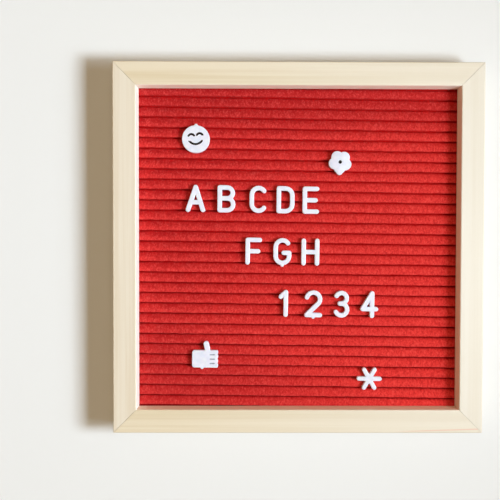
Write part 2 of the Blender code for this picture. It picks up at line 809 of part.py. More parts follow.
def seat(name, mesh, along, groove, above):
    """Stands a piece on the ribs, with its middle at this place along and above a groove."""
    x = along - above * sin(RIB_SLOPE)
    y = groove_line(groove) / cos(RIB_SLOPE) + along * tan(RIB_SLOPE) + above * cos(RIB_SLOPE)
    smooth(mesh, 30)
    place(name, mesh, PLASTIC, (x, y, CHARACTER_BACK), RIB_SLOPE)


def seat_by_edges(name, mesh, x, y, above):
    """Stands a piece where it is wanted, moved to the nearest groove that its tabs fit."""
    up_the_board = (y - x * tan(RIB_SLOPE)) * cos(RIB_SLOPE) - above
    seat(name, mesh, x, round(up_the_board / RIB_PITCH - 0.5), above)


def make_characters():
    for groove, row in ROWS:
        for sign, along in row:
            name = f"{'number' if sign.isdigit() else 'letter'}_{sign}"
            seat(name, joined(name, CHARACTERS[sign]()), along, groove, CHARACTER_LIFT)


def smile_slots():
    """The closed eyes and the smile, cut through the disc."""
    eye = arc((0, 0), EYE_RADIUS, 155, 25, 6)
    left = [(x - EYE_SPACING / 2, y + EYE_HEIGHT) for x, y in eye]
    right = [(x + EYE_SPACING / 2, y + EYE_HEIGHT) for x, y in eye]
    mouth = arc((0, MOUTH_HEIGHT), MOUTH_RADIUS, 217, 323, 8)
    return [turned(path, DISC_TILT) for path in (left, right, mouth)]


def make_smile():
    across = DISC_DIAMETER / 3
    tabs = [tab(0, step * RIB_PITCH - SMILE_LIFT, across) for step in (1, -1)]
    body = joined("smile_disc", [disc((0, 0), DISC_DIAMETER, 40), nub(0, DISC_DIAMETER / 2, 1), *tabs])
    slots = [
        flat_piece("slot", stroke_outline(path, SLOT_WIDTH), -SEAT_GAP, BODY_THICKNESS + SEAT_GAP)
        for path in smile_slots()
    ]
    smile = cut("smile_disc", body, slots)
    x, y = SMILE_FROM_LEFT - BOARD_WIDTH / 2, BOARD_HEIGHT / 2 - SMILE_FROM_TOP
    seat_by_edges("smile_disc", smile, x, y, SMILE_LIFT)


def flower_outline():
    """Round petals that meet in shallow notches, the first one pointing down the board."""
    half_turn = pi / PETALS
    radius = PETAL_DIAMETER / 2
    notch = PETAL_RING * cos(half_turn) + sqrt(radius**2 - (PETAL_RING * sin(half_turn)) ** 2)
    spread = degrees(atan2(notch * sin(half_turn), notch * cos(half_turn) - PETAL_RING))
    petal = arc((PETAL_RING, 0), radius, -spread, spread, 8)[1:]
    outline = []
    for number in range(PETALS):
        outline += turned(petal, 2 * half_turn * number - pi / 2 + FLOWER_TILT)
    return outline


def make_flower():
    body = [moulded(flower_outline()), nub(0, -PETAL_RING - PETAL_DIAMETER / 2)]
    tabs = [tab(0, -FLOWER_LIFT, PETAL_DIAMETER / 2), tab(0, -FLOWER_LIFT - RIB_PITCH)]
    hole = rod("hole", FLOWER_HOLE, -TAB_REACH - SEAT_GAP, BODY_THICKNESS + SEAT_GAP, 16)
    flower = cut("flower", joined("flower", [*body, *tabs]), [hole])
    x, y = BOARD_WIDTH / 2 - FLOWER_FROM_RIGHT, BOARD_HEIGHT / 2 - FLOWER_FROM_TOP
    seat_by_edges("flower", flower, x, y, FLOWER_LIFT)


def hand_outline():
    """The fist's outline: the back of the hand at the left, and the fingertips side by side at the right."""
    right, top = HAND_WIDTH / 2, HAND_HEIGHT / 2
    finger = HAND_HEIGHT / FINGERS
    radius = (finger**2 / 4 + FINGER_NOTCH**2) / (2 * FINGER_NOTCH)
    spread = degrees(asin(finger / 2 / radius))
    outline = [(right - FINGER_NOTCH, -top)]
    for number in range(FINGERS):
        middle = -top + finger * (number + 0.5)
        outline += arc((right - radius, middle), radius, -spread, spread, 6)[1:]
    outline += arc((HAND_CORNER - right, top - HAND_CORNER), HAND_CORNER, 90, 180, 4)
    outline += arc((HAND_CORNER - right, HAND_CORNER - top), HAND_CORNER, 180, 270, 4)
    return outline


def make_hand():
    """A fist with its thumb up."""
    top = HAND_HEIGHT / 2
    finger = HAND_HEIGHT / FINGERS
    bend = (THUMB_FOOT, top + THUMB_BEND)
    tip = (THUMB_FOOT - THUMB_LEAN, top + THUMB_RISE)
    body = [
        moulded(hand_outline()),
        stroke((THUMB_FOOT, top - THUMB_WIDTH / 2), bend, tip, width=THUMB_WIDTH),
        nub(-HAND_NUB, -top),
    ]
    tabs = [tab(0, -HAND_LIFT - row * RIB_PITCH, HAND_WIDTH / 2) for row in (0, 1)]
    knuckles = []
    for number in range(1, FINGERS):
        line = -top + finger * number
        crease = stroke_outline([(KNUCKLE_START, line), (KNUCKLE_END, line)], KNUCKLE_WIDTH)
        depth = BODY_THICKNESS - KNUCKLE_DEPTH
        knuckles.append(flat_piece("knuckle", crease, depth, BODY_THICKNESS + SEAT_GAP))
    hand = cut("thumbs_up", joined("thumbs_up", [*body, *tabs]), knuckles)
    x, y = HAND_FROM_LEFT - BOARD_WIDTH / 2, HAND_FROM_BOTTOM - BOARD_HEIGHT / 2
    seat_by_edges("thumbs_up", hand, x, y, HAND_LIFT)


def make_asterisk():
    reach = (ASTERISK_SPAN - ASTERISK_ARM) / 2
    arms = []
    for angle in (0, 60, 120):
        end = (reach * cos(radians(angle)), reach * sin(radians(angle)))
        arms.append(stroke((-end[0], -end[1]), end, width=ASTERISK_ARM))
    asterisk = joined("asterisk", [*arms, tab(0, -ASTERISK_LIFT, reach)])
    x, y = BOARD_WIDTH / 2 - ASTERISK_FROM_RIGHT, ASTERISK_FROM_BOTTOM - BOARD_HEIGHT / 2
    seat_by_edges("asterisk", asterisk, x, y, ASTERISK_LIFT)


clear_scene()
board = new_collection("letter_board")
cutters = new_collection("cutters")
make_frame()
make_felt()
make_core()
make_back()
make_characters()
make_smile()
make_flower()
make_hand()
make_asterisk()
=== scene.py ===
import json
from collections import namedtuple
from math import cos, floor, hypot, pi, radians, sin, sqrt, tan

import bpy
from mathutils import Matrix, Vector, noise


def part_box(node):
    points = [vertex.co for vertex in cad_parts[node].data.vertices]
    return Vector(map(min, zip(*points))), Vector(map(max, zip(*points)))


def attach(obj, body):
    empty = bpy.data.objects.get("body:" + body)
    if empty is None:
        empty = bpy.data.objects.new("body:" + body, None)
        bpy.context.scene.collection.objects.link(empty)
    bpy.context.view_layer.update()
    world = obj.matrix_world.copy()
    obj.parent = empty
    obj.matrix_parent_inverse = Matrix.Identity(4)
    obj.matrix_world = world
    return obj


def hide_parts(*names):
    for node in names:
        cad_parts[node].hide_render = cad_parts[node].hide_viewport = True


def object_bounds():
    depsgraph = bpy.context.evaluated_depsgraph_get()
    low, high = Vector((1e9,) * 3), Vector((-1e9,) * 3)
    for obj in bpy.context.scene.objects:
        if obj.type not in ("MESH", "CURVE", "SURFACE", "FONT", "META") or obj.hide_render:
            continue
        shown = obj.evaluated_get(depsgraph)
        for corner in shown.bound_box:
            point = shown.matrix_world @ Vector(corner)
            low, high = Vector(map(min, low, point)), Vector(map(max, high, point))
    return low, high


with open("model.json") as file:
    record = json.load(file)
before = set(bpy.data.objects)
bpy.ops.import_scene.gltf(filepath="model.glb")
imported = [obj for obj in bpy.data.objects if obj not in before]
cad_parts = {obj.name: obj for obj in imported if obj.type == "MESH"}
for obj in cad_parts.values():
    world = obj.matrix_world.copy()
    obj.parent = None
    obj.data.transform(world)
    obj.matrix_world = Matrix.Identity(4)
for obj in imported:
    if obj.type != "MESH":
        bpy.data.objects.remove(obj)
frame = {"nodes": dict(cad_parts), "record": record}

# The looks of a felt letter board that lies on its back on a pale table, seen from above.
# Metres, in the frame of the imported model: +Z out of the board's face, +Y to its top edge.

CAD_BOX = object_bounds()
MM = 0.001

# Camera, as found from the corners of the frame in the photograph of 500 by 500 pixels
IMAGE_WIDTH = 500
FOCAL_PIXELS = 568.6
CAMERA_PLACE = Vector((-24.9, 6.9, 410.4)) * MM
CAMERA_TURN = (-1.18, -0.29, 0.12)
CAMERA_SHIFT = (-0.03, 0)
SENSOR_WIDTH = 36
CLIP_START = 0.01
CLIP_END = 20

# Lamps and the light that comes from all around
KEY_PLACE = Vector((340, -50, 370)) * MM
KEY_SIZE = 130 * MM
KEY_COLOUR = (0.79, 0.90, 1.0)
KEY_POWER = 8.7
SIDE_PLACE = Vector((1200, -120, 900)) * MM
SIDE_SIZE = 500 * MM
SIDE_COLOUR = (0.79, 0.90, 1.0)
SIDE_POWER = 3.1
FILL_PLACE = Vector((0, 100, 900)) * MM
FILL_SIZE = 700 * MM
FILL_COLOUR = (1.0, 0.86, 0.72)
FILL_POWER = 0.8
AMBIENT = (0.30, 0.22, 0.125)
LIGHT_GAIN = 0.85
BACKGROUND_WHITE = (1.0, 1.0, 1.0)

# Table, and where its white glow starts and is whole
TABLE_SIZE = 8
TABLE_DROP = 0.1 * MM
TABLE_COLOUR = (0.88, 0.88, 0.87)
TABLE_GLOW = (1.0, 1.0, 1.0)
GLOW_FROM = 0.29
GLOW_TO = 0.62

# Directions on the board
TO_RIGHT = (1, 0, 0)
TO_TOP = (0, 1, 0)
TO_LAMPS = (0.8, -0.5, 0)
TO_LOWER_LEFT = (-0.35, -0.93, 0)

# Most of a noise's values lie between these two
NOISE_SPREAD = (0.3, 0.7)

# The colour sockets of Blender's mix node, by number: they share their names with others
MIX_A, MIX_B, MIX_RESULT = 6, 7, 2

# Wood: its noises, by their scale along the grain and across it
WOOD_BANDS = {"along": 3, "across": 130, "detail": 2.0, "roughness": 0.45, "distortion": 0.6}
WOOD_STREAKS = {"along": 7, "across": 520, "detail": 3.0, "roughness": 0.6, "distortion": 0.3}
WOOD_PORES = {"along": 90, "across": 3200, "detail": 2.0, "roughness": 0.6, "distortion": 0.0}
GRAIN_SHIFT = (1, 1.7, 0.6)
BAND_SHARE = 0.6
STREAK_SHARE = 0.4
GRAIN_SPREAD = (0.36, 0.62)
PORE_SPREAD = (0.60, 0.80)
PORE_SHARE = 0.30
WOOD_ROUGHNESS = (0.46, 0.6)
GRAIN_BUMP = (0.05 * MM, 0.5)
PORE_BUMP = (0.02 * MM, 0.6)
# Painted light: the paler tone that the wood takes towards the board's right, where the lamps are, and its
# share there
PAINTED_LIGHT_TONE = (0.92, 0.87, 0.77)
PAINTED_LIGHT_SHARE = 0.6
# Painted light: the rails' inner edges are paler still, up to this distance from the middle
SIGHT_HALF = 111.2
EDGE_TOP = 22.0
PAINTED_LIGHT_EDGE_SHARE = 0.85
# The rails' outer sides, darker, start at this distance from the middle
OUTER_HALF = 126.6
OUTER_TONE = (0.72, 0.58, 0.38)
OUTER_SHARE = 0.55
# A pink streak of resin along the lower rail's outer edge: from and to, and its width
STREAK = ((62.0, -126.2), (126.0, -124.2))
STREAK_WIDTH = 0.7 * MM
STREAK_TONE = (0.86, 0.60, 0.46)
# The rails: whether they lie along X, their grain's seed and two tones, the inner edge's painted-light tone,
# and a streak
RAILS = [
    ("top", True, 3.1, (0.86, 0.75, 0.565), (0.77, 0.64, 0.43), (0.98, 0.93, 0.82), None),
    ("bottom", True, 11.4, (0.86, 0.75, 0.565), (0.77, 0.64, 0.43), (0.95, 0.80, 0.60), STREAK),
    ("left", False, 5.7, (0.87, 0.78, 0.64), (0.81, 0.70, 0.54), (0.94, 0.92, 0.85), None),
    ("right", False, 17.9, (0.88, 0.80, 0.66), (0.80, 0.70, 0.53), (0.96, 0.90, 0.74), None),
]

# White plastic
PLASTIC_SOCKETS = {"Subsurface Weight": 0.12, "Subsurface Scale": 0.6 * MM}
PLASTIC_CLOUDS = {"scale": 260, "detail": 2.0}
PLASTIC_ETCH = {"scale": 5200, "detail": 2.0, "roughness": 0.6}
PLASTIC_PALE = (0.87, 0.88, 0.99)
CHARACTER_SHADE = (0.82, 0.84, 0.97)
SYMBOL_SHADE = (0.78, 0.81, 0.95)
PLASTIC_ROUGHNESS = (0.28, 0.38)
ETCH_BUMP = (0.01 * MM, 0.35)
# The boxes, in millimetres, in which the symbols have lines cut into them, and the dark of the painted shade
# in these lines
CUT_LINES = [
    ("smile_disc", (-77.2, 69.4, 12.2), (-64.8, 81.8, 14.85), (0.02, 0.003, 0.010)),
    ("flower", (27.0, 57.8, 8.0), (31.4, 62.2, 14.7), (0.03, 0.01, 0.015)),
    ("thumbs_up", (-61.4, -83.0, 12.9), (-57.9, -72.0, 14.8), (0.40, 0.42, 0.50)),
]
# Through these symbols' lines the felt shows, and has the same painted shade there
CUT_THROUGH = ("smile_disc", "flower")
# The smile and the closed eyes are cut on these arcs, along which painted shade darkens the face: centre and
# radius, then the box that holds the arc
SMILE_ARCS = [
    ((-74.07, 76.84), 2.1, (-78.0, 77.44, 14.0), (-71.3, 80.0, 15.0)),
    ((-68.30, 77.44), 2.1, (-71.0, 78.04, 14.0), (-64.0, 81.0, 15.0)),
    ((-71.20, 77.29), 5.25, (-78.0, 70.0, 14.0), (-64.0, 74.3, 15.0)),
]
SMILE_LINE = 1.45

# Zinc-plated steel
STEEL_SOCKETS = {"Metallic": 1.0}
SPANGLE_SCALE = 420
SPANGLE_SPREAD = (0.1, 0.7)
ZINC_TONES = ((0.58, 0.59, 0.60), (0.70, 0.71, 0.73))
STEEL_MARKS = {"stretch": (180, 4200, 4200), "detail": 3.0, "roughness": 0.6}
STEEL_ROUGHNESS = (0.28, 0.46)
MARKS_BUMP = (0.01 * MM, 0.5)

# Fibreboard, and the fibres and flecks that lie over its cloudy ground, as layers like those of the felt
FIBREBOARD_SOCKETS = {"Roughness": 0.62}
FIBREBOARD_CLOUDS = {"scale": 45, "detail": 3.0}
FIBREBOARD_FIBRES = {"scale": 1400, "detail": 4.0, "roughness": 0.7, "distortion": 1.5}
FIBREBOARD_FLECKS = {"stretch": (420, 1100, 800), "detail": 2.0, "roughness": 0.6, "distortion": 2.0}
FIBREBOARD_SPREAD = (0.35, 0.65)
FIBREBOARD_TONES = ((0.30, 0.185, 0.10), (0.38, 0.245, 0.14))
FIBRE_LAYER = (0.40, 0.70, 0.6, (0.50, 0.35, 0.21))
FLECK_LAYER = (0.60, 0.72, 0.7, (0.17, 0.095, 0.05))
FIBREBOARD_BUMP = (0.03 * MM, 0.5)

# Red felt: a cloudy ground that is brighter towards the lamps
FELT_SOCKETS = {
    "Sheen Weight": 0.08,
    "Sheen Roughness": 0.5,
    "Sheen Tint": (1.0, 0.35, 0.3, 1),
    "Specular IOR Level": 0.05,
    "Roughness": 0.95,
}
FELT_CLOUDS = {"scale": 160, "detail": 3.0, "roughness": 0.6}
FELT_TUFTS = {"stretch": (900, 560, 560), "detail": 3.0, "roughness": 0.75, "distortion": 0.5}
FELT_FIBRES = {"stretch": (900, 2600, 2600), "detail": 2.0, "roughness": 0.6, "distortion": 1.2}
CLOUD_SPREAD = (0.32, 0.68)
CLOUD_TONES = ((0.43, 0.012, 0.014), (0.57, 0.021, 0.020))
LIT_SHARE = 0.85
LIT_TONE = (0.84, 0.044, 0.036)
# The layers over it: the mask, its values where the layer starts and where it is whole, its share and tone
FELT_LAYERS = [
    # Painted light: each rib is paler at its foot, the sharp lower edge just above a groove, fading towards
    # its head.
    ("wear", 0.2, 1.0, 0.55, (0.84, 0.050, 0.046)),
    # Painted shade: darker towards the board's top and towards its lower left.
    ("top", 0.88, 0.99, 0.55, (0.36, 0.014, 0.016)),
    ("lower left", 0.86, 1.0, 0.38, (0.36, 0.014, 0.016)),
    ("tufts", 0.50, 0.66, 0.34, (0.90, 0.12, 0.105)),
    ("tufts", 0.52, 0.36, 0.46, (0.38, 0.003, 0.005)),
    # Painted shade: darker over each rib's round head, where it falls into the groove.
    ("depth", 0.05, 0.30, 0.4, (0.46, 0.004, 0.007)),
]
# The grooves' painted shade: it starts at ragged teeth, is thinner where fibres bridge it, and changes up the
# board
GROOVE_TEETH = {"stretch": (700, 350, 350), "detail": 2.0, "roughness": 0.6, "distortion": 0.8}
TEETH_SPREAD = (0.35, 0.65)
TEETH_SHIFT = (-0.12, 0.15)
GROOVE_BRIDGES = {"stretch": (900, 400, 400), "detail": 3.0, "roughness": 0.7, "distortion": 0.5}
BRIDGE_SPREAD = (0.38, 0.62)
BRIDGE_SHARES = (1.0, 0.4)
GROOVE_SPREAD = (0.16, 0.45)
GROOVE_SHADE_TONES = ((0.36, 0.0005, 0.002), (0.70, 0.004, 0.006))
TUFT_BUMP = (0.35 * MM, 0.9)
FIBRE_BUMP = (0.12 * MM, 0.8)

# The flower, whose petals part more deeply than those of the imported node, in millimetres
FLOWER_MIDDLE = (29.2, 60.0)
PETALS = 5
PETAL_RING = 4.05
PETAL_RADIUS = 4.1
PETAL_TILT = radians(-95)
SPRUE_RING = 6.7
SPRUE_RADIUS = 2.35
SPRUE_TURN = radians(-94)
HOLE_RADIUS = 1.2
FLOWER_STEPS = 120
FLOWER_SHARP = radians(40)
# Its rings of points, from the back over the rounded edge to the front: height, and inset from the outline
FLOWER_RINGS = [(12.5, 0.0), (14.45, 0.0), (14.66, 0.06), (14.82, 0.2), (14.9, 0.42)]
# Its tabs in the grooves: middle, length, and then their thickness and heights
FLOWER_TABS = [((29.2, 60.99), 5.7), ((29.1, 53.77), 2.4)]
TAB_THICKNESS = 0.7
TAB_HEIGHTS = (8.9, 12.6)
# A box's corners round its lower face, the same as round its upper one, and its faces by these eight
BOX_CORNERS = ((-1, -1), (1, -1), (1, 1), (-1, 1))
BOX_FACES = [(3, 2, 1, 0), (4, 5, 6, 7), (0, 1, 5, 4), (1, 2, 6, 5), (2, 3, 7, 6), (3, 0, 4, 7)]

# The pleated felt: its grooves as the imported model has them, but slimmer
RIB_PITCH = 7.22 * MM
RIB_SLOPE = radians(-0.75)
GROOVE_WIDTH = 0.8 * MM
GROOVE_DEPTH = 4.6 * MM
RIB_FOOT = 0.55 * MM
RIB_HEAD = 1.7 * MM
HEAD_START_DEGREES = 72
RIB_FALL = 0.6 * MM
FELT_THICKNESS = 0.9 * MM
EDGE_MARGIN = 1.0 * MM
PACKED_GROOVE_WIDTH = 1.3 * MM
PACKED_SHOULDER = 1.25 * MM
COLUMNS = 122
CROWN_STEPS = 3
HEAD_STEPS = 3
FOOT_STEPS = 2
GROOVE_STEPS = 2
# Its unevenness, by height, size of the lumps and seed: folds that wander, ragged folds, nap and broad swells
WANDER = (0.25 * MM, 34 * MM, 2.0)
RAGGED = (0.30 * MM, 4.2 * MM, 7.0)
NAP = (0.16 * MM, 4.5 * MM, 5.0)
SWELL = (0.10 * MM, 17 * MM, 9.0)
# How much further apart neighbouring folds are taken in these two noises, so that they differ
WANDER_APART = 4
RAGGED_APART = 3

# A row of the sheet: its place up the board, height under the crowns, the groove's number and the painted
# light, whole at the rib's foot
Row = namedtuple("Row", "up sunk number wear")


def lumps(x, y, height, size, seed):
    """Smooth noise of about this height, up and down, whose lumps measure this size."""
    return height * noise.noise(Vector((x / size, y / size, seed)))


def add_object(name, data):
    thing = bpy.data.objects.new(name, data)
    bpy.context.scene.collection.objects.link(thing)
    return thing


# Camera, lamps and table


def make_camera():
    lens = bpy.data.cameras.new("camera")
    lens.sensor_width = SENSOR_WIDTH
    lens.lens = SENSOR_WIDTH * FOCAL_PIXELS / IMAGE_WIDTH
    lens.shift_x, lens.shift_y = CAMERA_SHIFT
    lens.clip_start = CLIP_START
    lens.clip_end = CLIP_END
    camera = add_object("camera", lens)
    axis = Vector(CAMERA_TURN)
    camera.matrix_world = Matrix.Translation(CAMERA_PLACE) @ Matrix.Rotation(radians(axis.length), 4, axis)
    bpy.context.scene.camera = camera


def make_lamp(name, place, size, colour, power):
    """A square lamp turned to the board. Its light gains a little with the way, to light the table evenly."""
    light = bpy.data.lights.new(name, "AREA")
    light.size = size
    light.color = colour
    light.energy = power
    light.use_nodes = True
    tree = light.node_tree
    falloff = tree.nodes.new("ShaderNodeLightFalloff")
    falloff.inputs["Strength"].default_value = place.length ** -LIGHT_GAIN
    path = tree.nodes.new("ShaderNodeLightPath")
    gain = tree.nodes.new("ShaderNodeMath")
    gain.operation = "POWER"
    tree.links.new(path.outputs["Ray Length"], gain.inputs[0])
    gain.inputs[1].default_value = LIGHT_GAIN
    strength = tree.nodes.new("ShaderNodeMath")
    strength.operation = "MULTIPLY"
    tree.links.new(falloff.outputs["Constant"], strength.inputs[0])
    tree.links.new(gain.outputs[0], strength.inputs[1])
    tree.links.new(strength.outputs[0], tree.nodes["Emission"].inputs["Strength"])
    lamp = add_object(name, light)
    lamp.location = place
    lamp.rotation_euler = (-place).to_track_quat("-Z", "Y").to_euler()
    lamp.visible_camera = False


def seen_rays(tree):
    """1 for the rays that see a background: those of the camera, of reflections and through glass."""
    path = tree.nodes.new("ShaderNodeLightPath")
    first = tree.nodes.new("ShaderNodeMath")
    first.operation = "MAXIMUM"
    tree.links.new(path.outputs["Is Camera Ray"], first.inputs[0])
    tree.links.new(path.outputs["Is Glossy Ray"], first.inputs[1])
    second = tree.nodes.new("ShaderNodeMath")
    second.operation = "MAXIMUM"
    tree.links.new(first.outputs[0], second.inputs[0])
    tree.links.new(path.outputs["Is Transmission Ray"], second.inputs[1])
    return second.outputs[0]


def make_world():
    """White where it is seen, and a warm dim light from all around elsewhere."""
    world = bpy.data.worlds.new("studio")
    bpy.context.scene.world = world
    world.use_nodes = True
    tree = world.node_tree
    ambient = tree.nodes["Background"]
    ambient.inputs["Color"].default_value = (*AMBIENT, 1)
    white = tree.nodes.new("ShaderNodeBackground")
    white.inputs["Color"].default_value = (*BACKGROUND_WHITE, 1)
    choice = tree.nodes.new("ShaderNodeMixShader")
    tree.links.new(seen_rays(tree), choice.inputs[0])
    tree.links.new(ambient.outputs[0], choice.inputs[1])
    tree.links.new(white.outputs[0], choice.inputs[2])
    tree.links.new(choice.outputs[0], tree.nodes["World Output"].inputs["Surface"])


def make_table():
    """A pale table that takes the board's shadow, and turns to plain white further out."""
    half = TABLE_SIZE / 2
    corners = [(x, y, -TABLE_DROP) for x, y in ((-half, -half), (half, -half), (half, half), (-half, half))]
    mesh = bpy.data.meshes.new("table")
    mesh.from_pydata(corners, [], [(0, 1, 2, 3)])
    table = add_object("table", mesh)
    finish = bpy.data.materials.new("table_white")
    finish.use_nodes = True
    tree = finish.node_tree
    tree.nodes.remove(tree.nodes["Principled BSDF"])
    near = tree.nodes.new("ShaderNodeBsdfDiffuse")
    near.inputs["Color"].default_value = (*TABLE_COLOUR, 1)
    far = tree.nodes.new("ShaderNodeEmission")
    far.inputs["Color"].default_value = (*TABLE_GLOW, 1)
    place = tree.nodes.new("ShaderNodeTexCoord")
    distance = tree.nodes.new("ShaderNodeVectorMath")
    distance.operation = "LENGTH"
    tree.links.new(place.outputs["Object"], distance.inputs[0])
    fade = tree.nodes.new("ShaderNodeMapRange")
    fade.interpolation_type = "SMOOTHSTEP"
    fade.inputs["From Min"].default_value = GLOW_FROM
    fade.inputs["From Max"].default_value = GLOW_TO
    tree.links.new(distance.outputs["Value"], fade.inputs["Value"])
    seen = tree.nodes.new("ShaderNodeMath")
    seen.operation = "MULTIPLY"
    tree.links.new(fade.outputs["Result"], seen.inputs[0])
    tree.links.new(seen_rays(tree), seen.inputs[1])
    choice = tree.nodes.new("ShaderNodeMixShader")
    tree.links.new(seen.outputs[0], choice.inputs[0])
    tree.links.new(near.outputs[0], choice.inputs[1])
    tree.links.new(far.outputs[0], choice.inputs[2])
    tree.links.new(choice.outputs[0], tree.nodes["Material Output"].inputs["Surface"])
    mesh.materials.append(finish)


# Materials


class Finish:
    """A material on a Principled shader, with short calls for the nodes that colour and roughen it."""

    def __init__(self, name, sockets=None):
        self.material = bpy.data.materials.new(name)
        self.material.use_nodes = True
        self.tree = self.material.node_tree
        self.shader = self.tree.nodes["Principled BSDF"]
        for socket, value in (sockets or {}).items():
            self.shader.inputs[socket].default_value = value
        self.place = self.tree.nodes.new("ShaderNodeTexCoord").outputs["Object"]

    def feed(self, value, socket):
        if isinstance(value, bpy.types.NodeSocket):
            self.tree.links.new(value, socket)
        else:
            socket.default_value = value

    def stretched(self, scale, shift):
        """The place on the surface, stretched, so that a texture's lumps become streaks."""
        node = self.tree.nodes.new("ShaderNodeMapping")
        node.inputs["Scale"].default_value = scale
        node.inputs["Location"].default_value = shift
        self.feed(self.place, node.inputs["Vector"])
        return node.outputs["Vector"]

    def noise(self, scale=1.0, detail=3.0, roughness=0.5, distortion=0.0, stretch=None, shift=(0, 0, 0)):
        """A noise whose lumps are even, by its scale, or drawn out into streaks, by its stretch."""
        node = self.tree.nodes.new("ShaderNodeTexNoise")
        node.inputs["Scale"].default_value = scale
        node.inputs["Detail"].default_value = detail
        node.inputs["Roughness"].default_value = roughness
        node.inputs["Distortion"].default_value = distortion
        self.feed(self.stretched(stretch, shift) if stretch else self.place, node.inputs["Vector"])
        return node.outputs["Fac"]

    def cells(self, scale):
        node = self.tree.nodes.new("ShaderNodeTexVoronoi")
        node.inputs["Scale"].default_value = scale
        self.feed(self.place, node.inputs["Vector"])
        return node.outputs["Distance"]

    def attribute(self, name):
        node = self.tree.nodes.new("ShaderNodeAttribute")
        node.attribute_name = name
        return node.outputs["Fac"]

    def ramp(self, value, low, high, to_low=0.0, to_high=1.0):
        """A soft rise from to_low, where the value is low, to to_high, where it is high."""
        node = self.tree.nodes.new("ShaderNodeMapRange")
        node.interpolation_type = "SMOOTHSTEP"
        self.feed(value, node.inputs["Value"])
        for name, number in zip(("From Min", "From Max", "To Min", "To Max"), (low, high, to_low, to_high)):
            node.inputs[name].default_value = number
        return node.outputs["Result"]

    def math(self, operation, a, b):
        node = self.tree.nodes.new("ShaderNodeMath")
        node.operation = operation
        self.feed(a, node.inputs[0])
        self.feed(b, node.inputs[1])
        return node.outputs[0]

    def mix(self, share, a, b):
        """Tone a, with this share of tone b over it."""
        node = self.tree.nodes.new("ShaderNodeMix")
        node.data_type = "RGBA"
        self.feed(share, node.inputs["Factor"])
        for value, socket in ((a, node.inputs[MIX_A]), (b, node.inputs[MIX_B])):
            self.feed(value if isinstance(value, bpy.types.NodeSocket) else (*value, 1), socket)
        return node.outputs[MIX_RESULT]

    def layer(self, body, mask, low, high, share, tone):
        """The body with a tone over it, from nothing where the mask is low to this share where it is high."""
        return self.mix(self.ramp(mask, low, high, 0, share), body, tone)

    def away(self, value, middle):
        """How far the value lies from the middle, on either side."""
        return self.math("ABSOLUTE", self.math("SUBTRACT", value, middle), 0)

    def along(self, direction):
        """The place, measured from the board's middle in this direction."""
        node = self.tree.nodes.new("ShaderNodeVectorMath")
        node.operation = "DOT_PRODUCT"
        self.feed(self.place, node.inputs[0])
        node.inputs[1].default_value = direction
        return node.outputs["Value"]

    def way(self, direction):
        """0 at one edge of the board and 1 at the other one, in this direction."""
        half = CAD_BOX[1].x
        return self.ramp(self.along(direction), -half, half)

    def line(self, start, end, width):
        """1 on a soft line along X from start to end, in millimetres, and 0 away from it."""
        slope = (end[1] - start[1]) / (end[0] - start[0])
        height = (start[1] - slope * start[0]) * MM
        off = self.away(self.along((-slope, 1, 0)), height)
        rise = self.ramp(self.along(TO_RIGHT), start[0] * MM, (start[0] + end[0]) / 2 * MM)
        return self.math("MULTIPLY", self.ramp(off, width, 0), rise)

    def ring(self, centre, radius, width):
        """1 on a circle's line of this width, in millimetres and seen from above, and 0 off it."""
        flat = self.tree.nodes.new("ShaderNodeVectorMath")
        flat.operation = "MULTIPLY"
        self.feed(self.place, flat.inputs[0])
        flat.inputs[1].default_value = (1, 1, 0)
        node = self.tree.nodes.new("ShaderNodeVectorMath")
        node.operation = "DISTANCE"
        self.feed(flat.outputs[0], node.inputs[0])
        node.inputs[1].default_value = (centre[0] * MM, centre[1] * MM, 0)
        return self.math("LESS_THAN", self.away(node.outputs["Value"], radius * MM), width / 2 * MM)

    def within(self, low, high):
        """1 inside this box, in millimetres, and 0 outside."""
        split = self.tree.nodes.new("ShaderNodeSeparateXYZ")
        self.feed(self.place, split.inputs[0])
        share = 1
        for axis in range(3):
            middle, half = (low[axis] + high[axis]) / 2, (high[axis] - low[axis]) / 2
            near = self.math("LESS_THAN", self.away(split.outputs[axis], middle * MM), half * MM)
            share = self.math("MULTIPLY", near, share)
        return share

    def colour(self, value):
        self.feed(value, self.shader.inputs["Base Color"])

    def roughness(self, value):
        self.feed(value, self.shader.inputs["Roughness"])

    def bump(self, height, distance, strength):
        """Bumps of this height in metres, on top of those already there."""
        node = self.tree.nodes.new("ShaderNodeBump")
        node.inputs["Strength"].default_value = strength
        node.inputs["Distance"].default_value = distance
        self.feed(height, node.inputs["Height"])
        before = self.shader.inputs["Normal"].links
        if before:
            self.feed(before[0].from_socket, node.inputs["Normal"])
        self.feed(node.outputs["Normal"], self.shader.inputs["Normal"])


